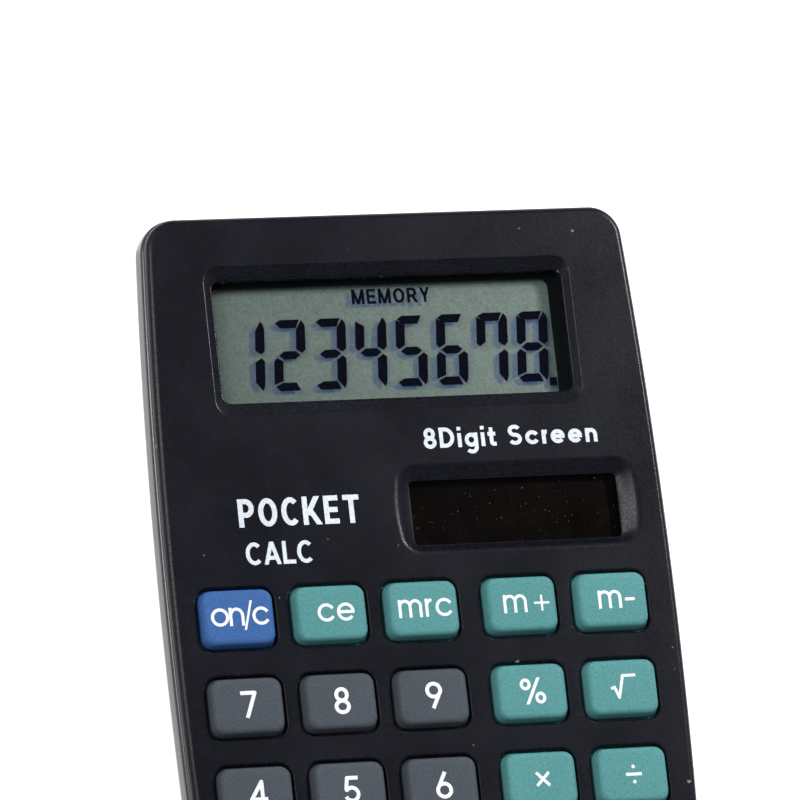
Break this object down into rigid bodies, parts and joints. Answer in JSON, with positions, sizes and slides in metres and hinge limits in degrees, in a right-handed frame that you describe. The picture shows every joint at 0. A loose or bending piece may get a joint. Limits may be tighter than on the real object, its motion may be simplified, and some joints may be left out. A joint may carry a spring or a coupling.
{
  "type": "pocket calculator",
  "caption": "Slim solar and battery pocket calculator with a recessed segment display and separate pressable keys in a two-part bowed case.",
  "frame": {"origin": "on the surface under the middle of the case's bounding box", "axes": "+X to the right across the keypad, +Y from the keypad towards the display, +Z out of the keypad face"},
  "size_m": [0.069, 0.1112, 0.0097],
  "materials": {
    "casing_matte": "moulded black ABS with a fine spark-eroded grain",
    "casing_gloss": "smooth moulded black ABS",
    "key_teal": "satin moulded plastic, teal",
    "key_blue": "satin moulded plastic, blue",
    "key_grey": "satin moulded plastic, slate grey",
    "polariser": "anti-glare polariser film",
    "display_glass": "clear thin glass",
    "seal": "cured epoxy",
    "reflector": "grey-green reflective film",
    "rubber_grey": "matte silicone rubber",
    "board": "phenolic board with solder mask",
    "carbon": "printed carbon",
    "epoxy": "cured black epoxy",
    "ceramic": "fired ceramic with tinned ends",
    "cell_glass": "clear float glass",
    "cell_film": "dark brown amorphous silicon under glass",
    "wire": "thin insulated wire",
    "steel": "satin nickel-plated steel",
    "contact_metal": "nickel-plated spring strip",
    "screw_steel": "blackened steel",
    "legend_ink": "white printed legend",
    "segment_ink": "darkened liquid crystal"
  },
  "bodies": {
    "case": {"front_casing": "casing_matte", "rear_casing": "casing_gloss", "display_polariser": "polariser", "display_front_glass": "display_glass", "display_seal": "seal", "display_rear_glass": "display_glass", "display_reflector": "reflector", "contact_strip": "rubber_grey", "circuit_board": "board", "contact_pads": "carbon", "chip_cover": "epoxy", "chip_capacitors": "ceramic", "chip_resistors": "carbon", "rubber_mat": "rubber_grey", "solar_cell_glass": "cell_glass", "solar_cell_film": "cell_film", "solar_leads": "wire", "button_cell": "steel", "battery_contact_negative": "contact_metal", "battery_contact_positive": "contact_metal", "casing_screws": "screw_steel"},
    "battery_cover": {"battery_cover": "casing_gloss"},
    "key_on_clear": {"key_on_clear": "key_blue"},
    "key_clear_entry": {"key_clear_entry": "key_teal"},
    "key_memory_recall": {"key_memory_recall": "key_teal"},
    "key_memory_plus": {"key_memory_plus": "key_teal"},
    "key_memory_minus": {"key_memory_minus": "key_teal"},
    "key_7": {"key_7": "key_grey"},
    "key_8": {"key_8": "key_grey"},
    "key_9": {"key_9": "key_grey"},
    "key_percent": {"key_percent": "key_teal"},
    "key_root": {"key_root": "key_teal"},
    "key_4": {"key_4": "key_grey"},
    "key_5": {"key_5": "key_grey"},
    "key_6": {"key_6": "key_grey"},
    "key_times": {"key_times": "key_teal"},
    "key_divide": {"key_divide": "key_teal"},
    "key_1": {"key_1": "key_grey"},
    "key_2": {"key_2": "key_grey"},
    "key_3": {"key_3": "key_grey"},
    "key_plus": {"key_plus": "key_teal"},
    "key_minus": {"key_minus": "key_teal"},
    "key_0": {"key_0": "key_grey"},
    "key_point": {"key_point": "key_grey"},
    "key_sign": {"key_sign": "key_grey"},
    "key_equals": {"key_equals": "key_teal"}
  },
  "joints": [
    {"name": "press_on_clear", "type": "slide", "parent": "case", "child": "key_on_clear", "axis": [0, 0, -1], "range_m": [0, 0.001], "stiffness_N_per_m": 120, "springref_m": -0.002, "deforming": ["rubber_mat"]},
    {"name": "press_clear_entry", "type": "slide", "parent": "case", "child": "key_clear_entry", "axis": [0, 0, -1], "range_m": [0, 0.001], "stiffness_N_per_m": 120, "springref_m": -0.002, "deforming": ["rubber_mat"]},
    {"name": "press_memory_recall", "type": "slide", "parent": "case", "child": "key_memory_recall", "axis": [0, 0, -1], "range_m": [0, 0.001], "stiffness_N_per_m": 120, "springref_m": -0.002, "deforming": ["rubber_mat"]},
    {"name": "press_memory_plus", "type": "slide", "parent": "case", "child": "key_memory_plus", "axis": [0, 0, -1], "range_m": [0, 0.001], "stiffness_N_per_m": 120, "springref_m": -0.002, "deforming": ["rubber_mat"]},
    {"name": "press_memory_minus", "type": "slide", "parent": "case", "child": "key_memory_minus", "axis": [0, 0, -1], "range_m": [0, 0.001], "stiffness_N_per_m": 120, "springref_m": -0.002, "deforming": ["rubber_mat"]},
    {"name": "press_7", "type": "slide", "parent": "case", "child": "key_7", "axis": [0, 0, -1], "range_m": [0, 0.001], "stiffness_N_per_m": 120, "springref_m": -0.002, "deforming": ["rubber_mat"]},
    {"name": "press_8", "type": "slide", "parent": "case", "child": "key_8", "axis": [0, 0, -1], "range_m": [0, 0.001], "stiffness_N_per_m": 120, "springref_m": -0.002, "deforming": ["rubber_mat"]},
    {"name": "press_9", "type": "slide", "parent": "case", "child": "key_9", "axis": [0, 0, -1], "range_m": [0, 0.001], "stiffness_N_per_m": 120, "springref_m": -0.002, "deforming": ["rubber_mat"]},
    {"name": "press_percent", "type": "slide", "parent": "case", "child": "key_percent", "axis": [0, 0, -1], "range_m": [0, 0.001], "stiffness_N_per_m": 120, "springref_m": -0.002, "deforming": ["rubber_mat"]},
    {"name": "press_root", "type": "slide", "parent": "case", "child": "key_root", "axis": [0, 0, -1], "range_m": [0, 0.001], "stiffness_N_per_m": 120, "springref_m": -0.002, "deforming": ["rubber_mat"]},
    {"name": "press_4", "type": "slide", "parent": "case", "child": "key_4", "axis": [0, 0, -1], "range_m": [0, 0.001], "stiffness_N_per_m": 120, "springref_m": -0.002, "deforming": ["rubber_mat"]},
    {"name": "press_5", "type": "slide", "parent": "case", "child": "key_5", "axis": [0, 0, -1], "range_m": [0, 0.001], "stiffness_N_per_m": 120, "springref_m": -0.002, "deforming": ["rubber_mat"]},
    {"name": "press_6", "type": "slide", "parent": "case", "child": "key_6", "axis": [0, 0, -1], "range_m": [0, 0.001], "stiffness_N_per_m": 120, "springref_m": -0.002, "deforming": ["rubber_mat"]},
    {"name": "press_times", "type": "slide", "parent": "case", "child": "key_times", "axis": [0, 0, -1], "range_m": [0, 0.001], "stiffness_N_per_m": 120, "springref_m": -0.002, "deforming": ["rubber_mat"]},
    {"name": "press_divide", "type": "slide", "parent": "case", "child": "key_divide", "axis": [0, 0, -1], "range_m": [0, 0.001], "stiffness_N_per_m": 120, "springref_m": -0.002, "deforming": ["rubber_mat"]},
    {"name": "press_1", "type": "slide", "parent": "case", "child": "key_1", "axis": [0, 0, -1], "range_m": [0, 0.001], "stiffness_N_per_m": 120, "springref_m": -0.002, "deforming": ["rubber_mat"]},
    {"name": "press_2", "type": "slide", "parent": "case", "child": "key_2", "axis": [0, 0, -1], "range_m": [0, 0.001], "stiffness_N_per_m": 120, "springref_m": -0.002, "deforming": ["rubber_mat"]},
    {"name": "press_3", "type": "slide", "parent": "case", "child": "key_3", "axis": [0, 0, -1], "range_m": [0, 0.001], "stiffness_N_per_m": 120, "springref_m": -0.002, "deforming": ["rubber_mat"]},
    {"name": "press_plus", "type": "slide", "parent": "case", "child": "key_plus", "axis": [0, 0, -1], "range_m": [0, 0.001], "stiffness_N_per_m": 120, "springref_m": -0.002, "deforming": ["rubber_mat"]},
    {"name": "press_minus", "type": "slide", "parent": "case", "child": "key_minus", "axis": [0, 0, -1], "range_m": [0, 0.001], "stiffness_N_per_m": 120, "springref_m": -0.002, "deforming": ["rubber_mat"]},
    {"name": "press_0", "type": "slide", "parent": "case", "child": "key_0", "axis": [0, 0, -1], "range_m": [0, 0.001], "stiffness_N_per_m": 120, "springref_m": -0.002, "deforming": ["rubber_mat"]},
    {"name": "press_point", "type": "slide", "parent": "case", "child": "key_point", "axis": [0, 0, -1], "range_m": [0, 0.001], "stiffness_N_per_m": 120, "springref_m": -0.002, "deforming": ["rubber_mat"]},
    {"name": "press_sign", "type": "slide", "parent": "case", "child": "key_sign", "axis": [0, 0, -1], "range_m": [0, 0.001], "stiffness_N_per_m": 120, "springref_m": -0.002, "deforming": ["rubber_mat"]},
    {"name": "press_equals", "type": "slide", "parent": "case", "child": "key_equals", "axis": [0, 0, -1], "range_m": [0, 0.001], "stiffness_N_per_m": 120, "springref_m": -0.002, "deforming": ["rubber_mat"]},
    {"name": "cover_turn", "type": "hinge", "parent": "case", "child": "battery_cover", "pos_m": [-0.016, 0.015, 0.0006], "axis": [0, 0, -1], "range_deg": [0, 45]}
  ]
}
